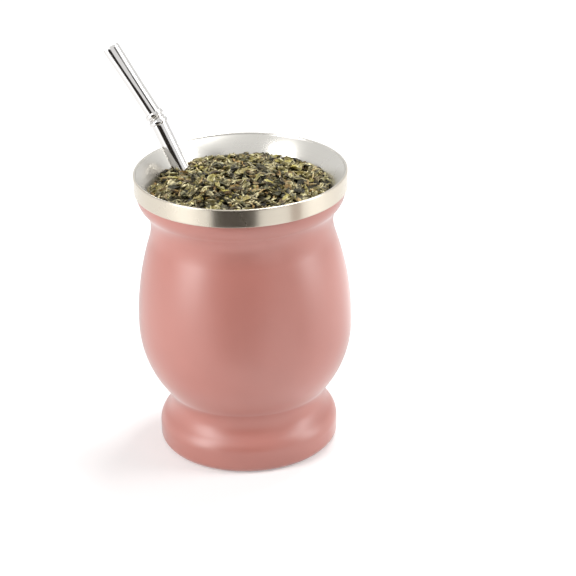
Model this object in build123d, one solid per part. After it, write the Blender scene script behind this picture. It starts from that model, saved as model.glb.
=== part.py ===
"""Mate gourd drink: a waisted double-wall cup of tea leaves with a bent steel straw.

Millimetres, +Z up. The cup's axis is Z and its base stands on Z = 0.
Every node is one solid: the coated outer shell, the steel liner with its rim band, the base
plate, the heap of tea leaves, and the straw's stem, mouthpiece and two collars.
"""
from build123d import *
from math import atan2, cos, hypot, pi, radians, sin, sqrt
import os

# ---------------------------------------------------------------- outer shell
RIM_RADIUS = 40.0
CUP_HEIGHT = 110.8
BAND_HEIGHT = 6.9
SHELL_WALL = 1.0
FOOT_RADIUS = 34.4
FOOT_HEIGHT = 7.5
FOOT_CORNER = 3.45
FOOT_BULGE_SHARE = 0.4553
WAIST_RADIUS = 29.7
WAIST_HEIGHT = 19.2
WAIST_SHARE = 0.1392
BELLY_RADIUS = 40.85
BELLY_HEIGHT = 50.0
BELLY_UPPER_SHARE = 0.8437
NECK_RADIUS = 34.4
NECK_DROP = 13.4
NECK_SHARE = 0.5191

# ------------------------------------------------------- liner and rim band
LINER_WALL = 0.8
BAND_WALL = 0.6
BAND_FIT = 0.05
LIP_WIDTH = 0.9
SHELL_TUCK = 3.4
LINER_BELLY_INSET = 4.3
LINER_BELLY_HEIGHT = 54.0
LINER_FLOOR_HEIGHT = 20.0
LINER_SIDE_ARC = 60.0
LINER_CORNER_ARC = 14.0
LINER_NECK_INSET = 3.6
LINER_NECK_DROP = 17.8
LINER_BELLY_SHARE = 0.2220

# ------------------------------------------------------------------ base plate
PLATE_MARGIN = 2.0
PLATE_THICKNESS = 1.0
PLATE_FIT = 0.05

# ------------------------------------------------------------------------ straw
STEM_DIAMETER = 6.3
MOUTHPIECE_DIAMETER = 6.0
TUBE_WALL = 0.5
STRAW_TEA_AZIMUTH = 145.0
STRAW_WALL_GAP = 3.7
STRAW_TEA_DROP = 4.8
STRAW_FOOT_AZIMUTH = -21.8
STRAW_FOOT_PLACE = 17.25
MOUTHPIECE_BEND = 8.8
STEM_LINE_STEPS = 8
STEM_ABOVE_TEA = 20.7
MOUTHPIECE_LENGTH = 31.9
ROUND_LENGTH = 12.0
TIP_WIDTH = 6.5
TIP_THICKNESS = 5.2
TIP_TURN = 128.0
LOWER_BEAD = 0.55
UPPER_BEAD = 0.7
COLLAR_WIDTH = 1.7
COLLAR_GAP = 1.4
COLLAR_ROUNDING = 0.45
COLLAR_FIT = 0.02
FLOOR_FIT = 0.05

# ------------------------------------------------------------------- tea leaves
TEA_EDGE_DROP = 6.8
TEA_RISE = 5.2
TEA_FIT = 0.2
STRAW_HOLE_FIT = 0.1
LUMP_HEIGHT = 0.55
LUMP_PITCH = 9.0
TEA_SECTORS = 48
TEA_CORNER_ROWS = 4
TEA_SIDE_ROWS = 22
TEA_TOP_ROWS = 11
TEA_SIDE_GAP = 2.6
TEA_EDGE_STEPS = 8
STRAW_HOLE_SIDES = 24


def s_curve(lower, upper, lower_share, skin=0.0):
    """Two tangent arcs between two points with upright tangents, set in by skin.

    The turn is 2 atan(|dr| / dz) and the radii add up to dz / sin(turn), of which the lower
    arc takes its share; both radii change by the skin, one up and one down.
    """
    rise = upper[1] - lower[1]
    step = upper[0] - lower[0]
    side = 1 if step > 0 else -1
    turn = 2 * atan2(abs(step), rise)
    arc = lower_share * rise / sin(turn) + side * skin
    start = (lower[0] - skin, lower[1])
    end = (upper[0] - skin, upper[1])
    middle = (start[0] + side * arc * (1 - cos(turn)), start[1] + arc * sin(turn))
    first = TangentArc(start, middle, tangent=(0, 1))
    second = TangentArc(end, middle, tangent=(0, -1))
    return [first, second]


def revolved(edges):
    """One solid turned about Z from a closed outline drawn as radius and height."""
    outline = Wire(edges)
    face = make_face(Plane.XZ * outline)
    return revolve(face, Axis.Z)


def shell_side(skin):
    """The shell's side from the ground corner to its tucked top edge, set in by skin."""
    foot = (FOOT_RADIUS, FOOT_HEIGHT)
    waist = (WAIST_RADIUS, WAIST_HEIGHT)
    belly = (BELLY_RADIUS, BELLY_HEIGHT)
    neck = (NECK_RADIUS, NECK_HEIGHT)
    flare = (SHELL_TOP_RADIUS, BAND_BOTTOM)
    corner_start = (FOOT_RADIUS - FOOT_CORNER, skin)
    corner_end = (FOOT_RADIUS - skin, FOOT_CORNER)
    edges = [TangentArc(corner_start, corner_end, tangent=(1, 0))]
    edges += [Line(corner_end, (FOOT_RADIUS - skin, FOOT_HEIGHT))]
    edges += s_curve(foot, waist, FOOT_BULGE_SHARE, skin)
    edges += s_curve(waist, belly, WAIST_SHARE, skin)
    edges += s_curve(belly, neck, BELLY_UPPER_SHARE, skin)
    edges += s_curve(neck, flare, NECK_SHARE, skin)
    edges += [Line((flare[0] - skin, flare[1]), (flare[0] - skin, SHELL_TOP))]
    return edges


def outer_shell():
    """The coated shell: one wall thickness all the way, turned under at the ground."""
    ring = PLATE_RADIUS + PLATE_FIT
    edges = shell_side(0)
    edges += shell_side(SHELL_WALL)
    edges += [Line((SHELL_TOP_RADIUS, SHELL_TOP), (SHELL_TOP_RADIUS - SHELL_WALL, SHELL_TOP))]
    edges += [Line((FOOT_RADIUS - FOOT_CORNER, 0), (ring, 0))]
    edges += [Line((ring, 0), (ring, SHELL_WALL))]
    edges += [Line((ring, SHELL_WALL), (FOOT_RADIUS - FOOT_CORNER, SHELL_WALL))]
    return revolved(edges)


def trumpet_radius(height, skin):
    """Radius of the liner's trumpet at a height; skin is measured out from the inside face."""
    reach = height - LINER_NECK_HEIGHT
    return TRUMPET_CENTRE - sqrt((TRUMPET_ARC - skin) ** 2 - reach ** 2)


def trumpet_height(radius, skin):
    """Height of the liner's trumpet at a radius."""
    reach = TRUMPET_CENTRE - radius
    return LINER_NECK_HEIGHT + sqrt((TRUMPET_ARC - skin) ** 2 - reach ** 2)


def liner_side(skin, top):
    """The liner's side from the middle of its floor to the trumpet's top point.

    A flat floor, a corner arc and a side arc that touch inside one another, an s-curve from
    the belly to the neck and one arc out to the top. The skin is measured outward.
    """
    belly = (LINER_BELLY_RADIUS, LINER_BELLY_HEIGHT)
    neck = (LINER_NECK_RADIUS, LINER_NECK_HEIGHT)
    drop = LINER_BELLY_HEIGHT - LINER_FLOOR_HEIGHT - LINER_CORNER_ARC
    between = LINER_SIDE_ARC - LINER_CORNER_ARC
    run = sqrt(between ** 2 - drop ** 2)
    side_centre = LINER_BELLY_RADIUS - LINER_SIDE_ARC
    floor_end = (side_centre + run, LINER_FLOOR_HEIGHT - skin)
    reach = (LINER_SIDE_ARC + skin) / between
    touch = (side_centre + run * reach, LINER_BELLY_HEIGHT - drop * reach)
    edges = [Line((0, LINER_FLOOR_HEIGHT - skin), floor_end)]
    edges += [TangentArc(floor_end, touch, tangent=(1, 0))]
    edges += [TangentArc((belly[0] + skin, belly[1]), touch, tangent=(0, -1))]
    edges += s_curve(belly, neck, LINER_BELLY_SHARE, -skin)
    edges += [TangentArc((neck[0] + skin, neck[1]), top, tangent=(0, 1))]
    return edges


def inner_liner():
    """The steel liner: cup, trumpet, rounded lip and the band that covers the shell's edge."""
    lip_radius = LIP_WIDTH / 2
    lip_height = CUP_HEIGHT - lip_radius
    inside_top = (RIM_RADIUS - LIP_WIDTH, lip_height)
    band_inside = RIM_RADIUS - BAND_WALL
    outside_top = (band_inside, trumpet_height(band_inside, LINER_WALL))
    edges = liner_side(0, inside_top)
    edges += liner_side(LINER_WALL, outside_top)
    edges += [ThreePointArc(inside_top, (RIM_RADIUS - lip_radius, CUP_HEIGHT), (RIM_RADIUS, lip_height))]
    edges += [Line((RIM_RADIUS, lip_height), (RIM_RADIUS, BAND_BOTTOM))]
    edges += [Line((RIM_RADIUS, BAND_BOTTOM), (band_inside, BAND_BOTTOM))]
    edges += [Line((band_inside, BAND_BOTTOM), outside_top)]
    edges += [Line((0, LINER_FLOOR_HEIGHT), (0, LINER_FLOOR_HEIGHT - LINER_WALL))]
    return revolved(edges)


def base_plate():
    """The disc that closes the foot, level with the ground ring."""
    return Pos(0, 0, PLATE_THICKNESS / 2) * Cylinder(PLATE_RADIUS, PLATE_THICKNESS)


def standing(radius, azimuth, height):
    """Point at a distance and an angle round the cup's axis."""
    around = radians(azimuth)
    return Vector(radius * cos(around), radius * sin(around), height)


def stem_line():
    """Middle of the stem's foot and its direction, up to its place at the tea's surface.

    The foot's lowest edge rests on the liner's floor, so its middle rises with the lean.
    """
    height = LINER_FLOOR_HEIGHT + FLOOR_FIT
    lift = 0
    for _ in range(STEM_LINE_STEPS):
        foot = standing(STRAW_FOOT_PLACE, STRAW_FOOT_AZIMUTH, height + lift)
        way = (AT_TEA - foot).normalized()
        lift = STEM_DIAMETER / 2 * hypot(way.X, way.Y)
    return foot, way


def bent(way, bend):
    """A direction leaned further over by an angle, in its own upright plane."""
    lean = atan2(hypot(way.X, way.Y), way.Z) + radians(bend)
    level = Vector(way.X, way.Y, 0).normalized()
    return level * sin(lean) + Vector(0, 0, cos(lean))


def along(start, direction, distance):
    """Point at a distance along a direction."""
    return start + direction * distance


def turned_plane(point, direction, turn=0.0):
    """Plane across a tube, with its local X level before it is turned about the tube."""
    level = Vector(0, 0, 1).cross(direction).normalized()
    other = direction.cross(level)
    across = level * cos(radians(turn)) + other * sin(radians(turn))
    return Plane(origin=point, x_dir=across, z_dir=direction)


def rod(start, end, radius):
    """Round bar between two points."""
    length = (end - start).length
    plane = turned_plane(start, (end - start).normalized())
    return extrude(plane * Circle(radius), length)


def tube(start, end, radius):
    """Round tube between two points; the bore runs a little past both ends."""
    way = (end - start).normalized()
    bore = rod(along(start, way, -TUBE_WALL), along(end, way, TUBE_WALL), radius - TUBE_WALL)
    return rod(start, end, radius) - bore


def joint_plane():
    """Plane halfway between the two lean directions, at the straw's bend."""
    return turned_plane(JOINT, (STEM_WAY + MOUTH_WAY).normalized())


def straw_stem():
    """Lower tube from the liner's floor to the bend, cut on the joint plane."""
    full = tube(STEM_FOOT, along(JOINT, STEM_WAY, STEM_DIAMETER / 2), STEM_DIAMETER / 2)
    return split(full, bisect_by=joint_plane(), keep=Keep.BOTTOM)


def flattened(width, thickness):
    """Loft from the round tube to the oval tip."""
    start = along(JOINT, MOUTH_WAY, ROUND_LENGTH)
    end = along(JOINT, MOUTH_WAY, MOUTHPIECE_LENGTH)
    round_end = turned_plane(start, MOUTH_WAY, TIP_TURN) * Ellipse(width[0] / 2, width[0] / 2)
    oval_end = turned_plane(end, MOUTH_WAY, TIP_TURN) * Ellipse(width[1] / 2, thickness / 2)
    return loft([round_end.face(), oval_end.face()])


def straw_mouthpiece():
    """Upper tube: round from the bend, then flattened toward its open tip."""
    radius = MOUTHPIECE_DIAMETER / 2
    bore = MOUTHPIECE_DIAMETER - 2 * TUBE_WALL
    round_end = along(JOINT, MOUTH_WAY, ROUND_LENGTH)
    outside = rod(along(JOINT, MOUTH_WAY, -radius), round_end, radius)
    outside += flattened((MOUTHPIECE_DIAMETER, TIP_WIDTH), TIP_THICKNESS)
    inside = rod(along(JOINT, MOUTH_WAY, -2 * radius), round_end, radius - TUBE_WALL)
    inside += flattened((bore, TIP_WIDTH - 2 * TUBE_WALL), TIP_THICKNESS - 2 * TUBE_WALL)
    return split(outside - inside, bisect_by=joint_plane(), keep=Keep.TOP)


def collar(way, side, tube_diameter, bead):
    """Bead ring round one tube, half a gap from the bend along the tube."""
    near = COLLAR_GAP / 2
    start = along(JOINT, way, side * near)
    plane = turned_plane(start, way * side)
    disc = extrude(plane * Circle(tube_diameter / 2 + bead), COLLAR_WIDTH)
    disc = fillet(disc.edges().filter_by(GeomType.CIRCLE), COLLAR_ROUNDING)
    hole = rod(
        along(start, way, -COLLAR_WIDTH * 2),
        along(start, way, COLLAR_WIDTH * 2),
        tube_diameter / 2 + COLLAR_FIT,
    )
    return disc - hole


def tea_height(x, y):
    """Height of the heap's top: a low dome with rounded lumps of several pitches."""
    spread = hypot(x, y) / TEA_EDGE_RADIUS
    dome = TEA_EDGE_HEIGHT + TEA_RISE * (1 - spread ** 2)
    wave = 2 * pi / LUMP_PITCH
    lumps = sin(wave * x + 0.6) * cos(wave * 0.83 * y - 0.4)
    lumps += 0.7 * sin(wave * 0.55 * (x - y) + 1.9) * cos(wave * 0.47 * (x + y))
    lumps += 0.5 * sin(wave * 1.35 * y + 2.2) * sin(wave * 1.21 * x - 1.1)
    return dome + LUMP_HEIGHT * lumps


def liner_radius(height):
    """Radius of the liner's inside face at a height between its floor and its lip."""
    if height >= LINER_NECK_HEIGHT:
        return trumpet_radius(height, 0)
    if height >= LINER_BELLY_HEIGHT:
        rise = LINER_NECK_HEIGHT - LINER_BELLY_HEIGHT
        step = LINER_BELLY_RADIUS - LINER_NECK_RADIUS
        turn = 2 * atan2(step, rise)
        reach = height - LINER_BELLY_HEIGHT
        arc = LINER_BELLY_SHARE * rise / sin(turn)
        if reach <= arc * sin(turn):
            return LINER_BELLY_RADIUS - arc + sqrt(arc ** 2 - reach ** 2)
        rest = rise / sin(turn) - arc
        reach = LINER_NECK_HEIGHT - height
        return LINER_NECK_RADIUS + rest - sqrt(rest ** 2 - reach ** 2)
    drop = LINER_BELLY_HEIGHT - LINER_FLOOR_HEIGHT - LINER_CORNER_ARC
    between = LINER_SIDE_ARC - LINER_CORNER_ARC
    centre = LINER_BELLY_RADIUS - LINER_SIDE_ARC
    reach = LINER_BELLY_HEIGHT - height
    if reach <= drop * LINER_SIDE_ARC / between:
        return centre + sqrt(LINER_SIDE_ARC ** 2 - reach ** 2)
    corner = LINER_FLOOR_HEIGHT + LINER_CORNER_ARC - height
    run = sqrt(between ** 2 - drop ** 2)
    return centre + run + sqrt(max(LINER_CORNER_ARC ** 2 - corner ** 2, 0))


def tea_edge(around):
    """Radius and height where the heap's top meets the liner, by a few fixed-point steps."""
    radius = TEA_EDGE_RADIUS
    for _ in range(TEA_EDGE_STEPS):
        height = tea_height(radius * cos(around), radius * sin(around))
        radius = liner_radius(height) - TEA_FIT
    return radius, height


def flat(corners):
    """Flat face with straight edges."""
    return Face(Wire.make_polygon([Vector(*corner) for corner in corners]))


def tea_heap():
    """Faceted heap: level rings down the liner's side, closed by an uneven top."""
    turns = [2 * pi * step / TEA_SECTORS for step in range(TEA_SECTORS)]
    floor = LINER_FLOOR_HEIGHT + TEA_FIT
    corner_top = LINER_FLOOR_HEIGHT + LINER_CORNER_ARC / 2
    heights = [floor + (corner_top - floor) * (step / TEA_CORNER_ROWS) ** 2 for step in range(TEA_CORNER_ROWS)]
    side = TEA_EDGE_HEIGHT - TEA_SIDE_GAP - corner_top
    heights += [corner_top + side * step / TEA_SIDE_ROWS for step in range(TEA_SIDE_ROWS + 1)]
    rings = []
    for height in heights:
        radius = liner_radius(height) - TEA_FIT
        rings += [[(radius * cos(turn), radius * sin(turn), height) for turn in turns]]
    edges = [tea_edge(turn) for turn in turns]
    for row in range(TEA_TOP_ROWS, 0, -1):
        ring = []
        for turn, (radius, _) in zip(turns, edges):
            x = radius * row / TEA_TOP_ROWS * cos(turn)
            y = radius * row / TEA_TOP_ROWS * sin(turn)
            ring += [(x, y, tea_height(x, y))]
        rings += [ring]
    faces = [flat(rings[0][::-1])]
    for step in range(TEA_SECTORS):
        after = (step + 1) % TEA_SECTORS
        for number, (low, high) in enumerate(zip(rings, rings[1:])):
            if number < len(heights) - 1:
                faces += [flat([low[step], low[after], high[after], high[step]])]
            else:
                faces += [flat([low[step], low[after], high[after]])]
                faces += [flat([low[step], high[after], high[step]])]
        faces += [flat([rings[-1][step], rings[-1][after], (0, 0, tea_height(0, 0))])]
    return Solid(Shell(faces))


def tea_leaves():
    """The heap of leaves with a many-sided hole for the stem."""
    start = along(STEM_FOOT, STEM_WAY, -STEM_DIAMETER)
    plane = turned_plane(start, STEM_WAY)
    across = STEM_DIAMETER / 2 + STRAW_HOLE_FIT
    outline = RegularPolygon(across, STRAW_HOLE_SIDES, major_radius=False)
    hole = extrude(plane * outline, (JOINT - start).length)
    return tea_heap() - hole


BAND_BOTTOM = CUP_HEIGHT - BAND_HEIGHT
SHELL_TOP = BAND_BOTTOM + SHELL_TUCK
NECK_HEIGHT = BAND_BOTTOM - NECK_DROP
LINER_NECK_HEIGHT = CUP_HEIGHT - LINER_NECK_DROP
SHELL_TOP_RADIUS = RIM_RADIUS - BAND_WALL - BAND_FIT
PLATE_RADIUS = FOOT_RADIUS - FOOT_CORNER - PLATE_MARGIN
LINER_BELLY_RADIUS = BELLY_RADIUS - LINER_BELLY_INSET
LINER_NECK_RADIUS = NECK_RADIUS - LINER_NECK_INSET
LIP_RISE = CUP_HEIGHT - LIP_WIDTH / 2 - LINER_NECK_HEIGHT
LIP_RUN = RIM_RADIUS - LIP_WIDTH - LINER_NECK_RADIUS
TRUMPET_ARC = (LIP_RISE ** 2 + LIP_RUN ** 2) / (2 * LIP_RUN)
TRUMPET_CENTRE = LINER_NECK_RADIUS + TRUMPET_ARC
TEA_EDGE_HEIGHT = CUP_HEIGHT - TEA_EDGE_DROP
TEA_EDGE_RADIUS = trumpet_radius(TEA_EDGE_HEIGHT, 0)
TEA_AT_STRAW = CUP_HEIGHT - STRAW_TEA_DROP
STRAW_TEA_PLACE = trumpet_radius(TEA_AT_STRAW, 0) - STEM_DIAMETER / 2 - STRAW_WALL_GAP
AT_TEA = standing(STRAW_TEA_PLACE, STRAW_TEA_AZIMUTH, TEA_AT_STRAW)
STEM_FOOT, STEM_WAY = stem_line()
MOUTH_WAY = bent(STEM_WAY, MOUTHPIECE_BEND)
JOINT = along(AT_TEA, STEM_WAY, STEM_ABOVE_TEA)

NODES = {
    "outer_shell": outer_shell(),
    "inner_liner": inner_liner(),
    "base_plate": base_plate(),
    "tea_leaves": tea_leaves(),
    "straw_stem": straw_stem(),
    "straw_mouthpiece": straw_mouthpiece(),
    "straw_collar_lower": collar(STEM_WAY, -1, STEM_DIAMETER, LOWER_BEAD),
    "straw_collar_upper": collar(MOUTH_WAY, 1, MOUTHPIECE_DIAMETER, UPPER_BEAD),
}

os.makedirs("parts", exist_ok=True)
for name, shape in NODES.items():
    export_step(shape, "parts/" + name + ".step")
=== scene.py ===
"""Mate gourd drink: coated double-wall cup, tea leaves and bent steel straw.

Laid out as an add-on and run as a script. Every size is in metres and every piece lies in the
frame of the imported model, with the cup's axis on Z and its base on Z = 0.
"""
import math
from typing import NamedTuple

import bpy
import numpy as np
from bpy.props import (
    FloatProperty,
    FloatVectorProperty,
    IntProperty,
    PointerProperty,
)
from mathutils import Matrix, Vector


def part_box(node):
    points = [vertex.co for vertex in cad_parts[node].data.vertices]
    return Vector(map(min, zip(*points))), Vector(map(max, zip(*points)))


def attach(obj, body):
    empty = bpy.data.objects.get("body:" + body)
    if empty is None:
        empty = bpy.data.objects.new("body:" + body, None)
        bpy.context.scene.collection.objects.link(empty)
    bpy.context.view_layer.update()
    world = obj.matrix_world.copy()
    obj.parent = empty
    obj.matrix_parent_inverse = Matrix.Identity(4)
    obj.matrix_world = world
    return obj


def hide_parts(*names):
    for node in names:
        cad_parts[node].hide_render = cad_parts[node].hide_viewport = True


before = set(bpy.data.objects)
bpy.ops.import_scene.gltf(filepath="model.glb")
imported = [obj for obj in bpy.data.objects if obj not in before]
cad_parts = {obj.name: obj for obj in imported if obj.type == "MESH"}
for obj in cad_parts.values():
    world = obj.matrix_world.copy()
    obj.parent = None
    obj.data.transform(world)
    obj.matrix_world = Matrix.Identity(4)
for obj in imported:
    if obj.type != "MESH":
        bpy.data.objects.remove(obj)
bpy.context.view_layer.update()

bl_info = {
    "name": "Mate gourd drink",
    "version": (1, 0, 0),
    "blender": (4, 5, 0),
    "location": "View3D > Sidebar > Mate",
    "description": "Builds a mate cup with tea leaves and a bent straw",
    "category": "Add Mesh",
}

MM = 0.001
BODY = "root"
TAU = 2 * math.pi
LINER_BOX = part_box("inner_liner")
SHELL_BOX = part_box("outer_shell")
RIM_RADIUS = LINER_BOX[1][0]
CUP_HEIGHT = LINER_BOX[1][2]
BELLY_RADIUS = SHELL_BOX[1][0]
LINER_WALL = 0.8 * MM
LINER_FLOOR = LINER_BOX[0][2] + LINER_WALL

FOOT_HEIGHT = 7.5 * MM
WAIST_HEIGHT = 19.2 * MM
BELLY_HEIGHT = 50.0 * MM
NECK_HEIGHT = 90.5 * MM
FOOT_CORNER = 3.45 * MM
FOOT_RING_WIDTH = 5.4 * MM
SHELL_TUCK_INSET = 0.65 * MM
SHELL_TUCK_HEIGHT = 3.4 * MM
FOOT_ARC, WAIST_ARC, BELLY_ARC, NECK_ARC = 7.7 * MM, 6.7 * MM, 110 * MM, 10.7 * MM

LINER_BELLY_HEIGHT = 54.0 * MM
LINER_BELLY_INSET = 4.3 * MM
LINER_NECK_HEIGHT = 93.0 * MM
LINER_NECK_INSET = 3.6 * MM
LINER_SIDE_ARC = 60.0 * MM
LINER_CORNER_ARC = 14.0 * MM
LINER_BELLY_ARC = 30.0 * MM
BAND_THICKNESS = 0.6 * MM
BAND_EDGE_ARC = 0.25 * MM
POLE_RING = 0.5 * MM


# ------------------------------------------------------------------ properties
def size(name, description, default):
    """A length in metres."""
    return FloatProperty(
        name=name, description=description, default=default, unit="LENGTH", precision=5
    )


def colour(name, description, default):
    """A linear colour."""
    return FloatVectorProperty(
        name=name, description=description, default=default, subtype="COLOR", size=3, min=0, max=1
    )


class CupSettings(bpy.types.PropertyGroup):
    """Sizes and finishes of the cup."""

    band_height: size("Band height", "Height of the steel band below the lip", 6.9 * MM)
    lip_width: size("Lip width", "Thickness of the rounded lip", 0.9 * MM)
    shell_wall: size("Shell wall", "Thickness of the coated shell", 1.0 * MM)
    liner_wall: size("Liner wall", "Thickness of the steel liner", LINER_WALL)
    foot_radius: size("Foot radius", "Largest radius of the foot", 34.4 * MM)
    waist_radius: size("Waist radius", "Smallest radius above the foot", 29.7 * MM)
    neck_radius: size("Neck radius", "Smallest radius below the rim", 34.4 * MM)
    coating: colour("Coating", "Colour of the powder coat", (0.485, 0.180, 0.145))
    steel: colour("Steel", "Colour of the steel inside the cup", (0.64, 0.622, 0.580))
    # The band's colour is the liner's own steel painted darker and warmer, a painted reflection of
    # what the band faces.
    band_painted_reflection: colour("Band steel", "Colour of the rim band's outside", (0.61, 0.555, 0.465))
    sectors: IntProperty(
        name="Sectors", description="Steps round the cup's axis", default=192, min=24
    )


class StrawSettings(bpy.types.PropertyGroup):
    """Sizes and finish of the straw."""

    stem_radius: size("Stem radius", "Radius of the lower tube", 3.15 * MM)
    mouthpiece_radius: size("Mouthpiece radius", "Radius of the upper tube", 3.0 * MM)
    wall: size("Tube wall", "Thickness of the tubes", 0.5 * MM)
    collar_radius: size("Collar radius", "Radius of the two beads", 3.7 * MM)
    steel: colour("Polished steel", "Colour of the polished tubes", (0.70, 0.685, 0.67))


class LeafSettings(bpy.types.PropertyGroup):
    """Size, number and colours of the leaves."""

    length: size("Leaf length", "Middle length of a leaf flake", 5.0 * MM)
    count: IntProperty(
        name="Leaves", description="Number of flakes on the heap", default=1200, min=100
    )
    olive: colour("Olive", "Dark olive flakes", (0.370, 0.300, 0.095))
    bluegreen: colour("Blue green", "Grey green flakes", (0.165, 0.160, 0.080))
    lime: colour("Yellow green", "Light yellow green flakes", (0.560, 0.480, 0.130))
    brown: colour("Brown", "Brown flakes", (0.450, 0.280, 0.095))
    pale: colour("Pale", "Pale stalks", (0.960, 0.860, 0.520))
    # The gaps' colour is painted shade: near black, where shade falls between the flakes.
    gap: colour("Gaps", "Colour between the flakes", (0.007, 0.005, 0.002))


class StageSettings(bpy.types.PropertyGroup):
    """Light and floor."""

    floor: colour("Floor", "Colour of the floor", (0.80, 0.80, 0.80))
    world_level: FloatProperty(
        name="World", description="Brightness of the surroundings", default=0.40, min=0
    )
    side_power: FloatProperty(
        name="Side lamps", description="Power of each side lamp", default=8.2, min=0, unit="POWER"
    )
    top_power: FloatProperty(
        name="Top lamp", description="Power of the top lamp", default=5.5, min=0, unit="POWER"
    )


# ---------------------------------------------------------------- mesh helpers
def put_mesh(name, points, faces, material, smooth=True, attributes=()):
    """A mesh object at the origin from whole arrays; attributes are one number a point."""
    mesh = bpy.data.meshes.new(name)
    mesh.from_pydata(points.reshape(-1, 3).tolist(), [], faces)
    mesh.polygons.foreach_set("use_smooth", np.full(len(mesh.polygons), smooth))
    for label, values in attributes:
        layer = mesh.attributes.new(label, "FLOAT", "POINT")
        layer.data.foreach_set("value", values.astype(np.float32).ravel())
    mesh.materials.append(material)
    mesh.update()
    piece = bpy.data.objects.new(name, mesh)
    bpy.context.scene.collection.objects.link(piece)
    return piece


def grid_faces(rows, columns, close_rows, close_columns):
    """Quads of a grid: each cell joins a point, the next in its row and the two above."""
    i = np.arange(rows if close_rows else rows - 1)[:, None]
    j = np.arange(columns if close_columns else columns - 1)[None, :]
    up = (i + 1) % rows
    on = (j + 1) % columns
    cells = np.stack(
        [i * columns + j, i * columns + on, up * columns + on, up * columns + j], axis=-1
    )
    return cells.reshape(-1, 4)


def outward(points, *groups):
    """Groups of faces as one list, facing outward.

    They are turned over where the signed volume, a sixth of the sum of a . (b x c), is negative.
    """
    flat = points.reshape(-1, 3)
    volume = 0
    for faces in groups:
        for k in range(1, faces.shape[1] - 1):
            a, b, c = (flat[faces[:, corner]] for corner in (0, k, k + 1))
            volume += np.einsum("ij,ij->i", a, np.cross(b, c)).sum()
    order = 1 if volume > 0 else -1
    return [face for faces in groups for face in faces[:, ::order].tolist()]


def with_poles(rings):
    """Rings joined in order, with a fan to the middle of the first and of the last."""
    rows, sides = rings.shape[:2]
    middles = [rings[0].mean(0), rings[-1].mean(0)]
    points = np.concatenate([rings.reshape(-1, 3), middles])
    side = np.arange(sides)
    after = (side + 1) % sides
    last = (rows - 1) * sides
    low = np.stack([np.full(sides, rows * sides), after, side], -1)
    high = np.stack([np.full(sides, rows * sides + 1), last + side, last + after], -1)
    return points, outward(points, grid_faces(rows, sides, False, True), low, high)


def turned(profile, sectors, poles=False):
    """An outline (radius, height) turned about Z: (r cos t, r sin t, z).

    Points that repeat the one before them are left out first. The outline closes on itself,
    or starts and ends at a pole.
    """
    apart = np.linalg.norm(profile - np.roll(profile, 1, axis=0), axis=1) > 1e-7
    profile = profile[apart]
    turn = np.linspace(0, TAU, sectors, endpoint=False)
    radius = profile[:, 0, None]
    height = np.broadcast_to(profile[:, 1, None], (len(profile), sectors))
    points = np.stack([radius * np.cos(turn), radius * np.sin(turn), height], axis=-1)
    if poles:
        return with_poles(points)
    return points, outward(points, grid_faces(len(profile), sectors, True, True))


# --------------------------------------------------------------- cup's outline
def arc(centre, radius, start, end, count):
    """Points of an arc: centre + radius (cos a, sin a), a evenly from start to end."""
    angle = np.linspace(start, end, count)
    return np.stack(
        [centre[0] + radius * np.cos(angle), centre[1] + radius * np.sin(angle)], axis=-1
    )


def s_curve(lower, upper, lower_arc, skin, count=24):
    """Two tangent arcs between upright tangents, set in by skin.

    The turn is 2 atan(|dr| / dz) and the radii add up to dz / sin(turn).
    """
    rise = upper[1] - lower[1]
    step = upper[0] - lower[0]
    side = math.copysign(1, step)
    turn = 2 * math.atan2(abs(step), rise)
    first = lower_arc + side * skin
    second = rise / math.sin(turn) - first
    angle = np.linspace(0, turn, count)
    low = np.stack(
        [lower[0] - skin + side * first * (1 - np.cos(angle)), lower[1] + first * np.sin(angle)],
        axis=-1,
    )
    high = np.stack(
        [upper[0] - skin - side * second * (1 - np.cos(angle)), upper[1] - second * np.sin(angle)],
        axis=-1,
    )[::-1]
    return np.concatenate([low, high[1:]])


def shell_line(cup, skin):
    """The shell's side from the ground corner to its tucked edge, set in by skin."""
    band_bottom = CUP_HEIGHT - cup.band_height
    top_radius = RIM_RADIUS - SHELL_TUCK_INSET
    foot = (cup.foot_radius, FOOT_HEIGHT)
    waist = (cup.waist_radius, WAIST_HEIGHT)
    belly = (BELLY_RADIUS, BELLY_HEIGHT)
    neck = (cup.neck_radius, NECK_HEIGHT)
    centre = (cup.foot_radius - FOOT_CORNER, FOOT_CORNER)
    parts = [
        arc(centre, FOOT_CORNER - skin, -math.pi / 2, 0, 12),
        s_curve(foot, waist, FOOT_ARC, skin),
        s_curve(waist, belly, WAIST_ARC, skin),
        s_curve(belly, neck, BELLY_ARC, skin),
        s_curve(neck, (top_radius, band_bottom), NECK_ARC, skin),
        np.array([[top_radius - skin, band_bottom + SHELL_TUCK_HEIGHT]]),
    ]
    return np.concatenate(parts)


def shell_profile(cup):
    """Closed outline: up the outside, over the edge, down the inside and under."""
    ring = cup.foot_radius - FOOT_RING_WIDTH
    outside = shell_line(cup, 0)
    inside = shell_line(cup, cup.shell_wall)[::-1]
    under = np.array([[ring, cup.shell_wall], [ring, 0]])
    return np.concatenate([outside, inside, under])


def trumpet(cup):
    """The liner's trumpet, from its neck to the inside of the lip: where its centre is, its arc.

    An arc that starts upright and goes out by run over rise has (rise^2 + run^2) / (2 run).
    """
    neck = cup.neck_radius - LINER_NECK_INSET
    rise = CUP_HEIGHT - cup.lip_width / 2 - LINER_NECK_HEIGHT
    run = RIM_RADIUS - cup.lip_width - neck
    radius = (rise**2 + run**2) / (2 * run)
    return neck + radius, radius


def wall_radius(cup, height):
    """Radius of the trumpet's inside face at heights above the liner's neck."""
    centre, radius = trumpet(cup)
    reach = np.clip(height - LINER_NECK_HEIGHT, 0, CUP_HEIGHT - LINER_NECK_HEIGHT)
    return centre - np.sqrt(radius**2 - reach**2)


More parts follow.
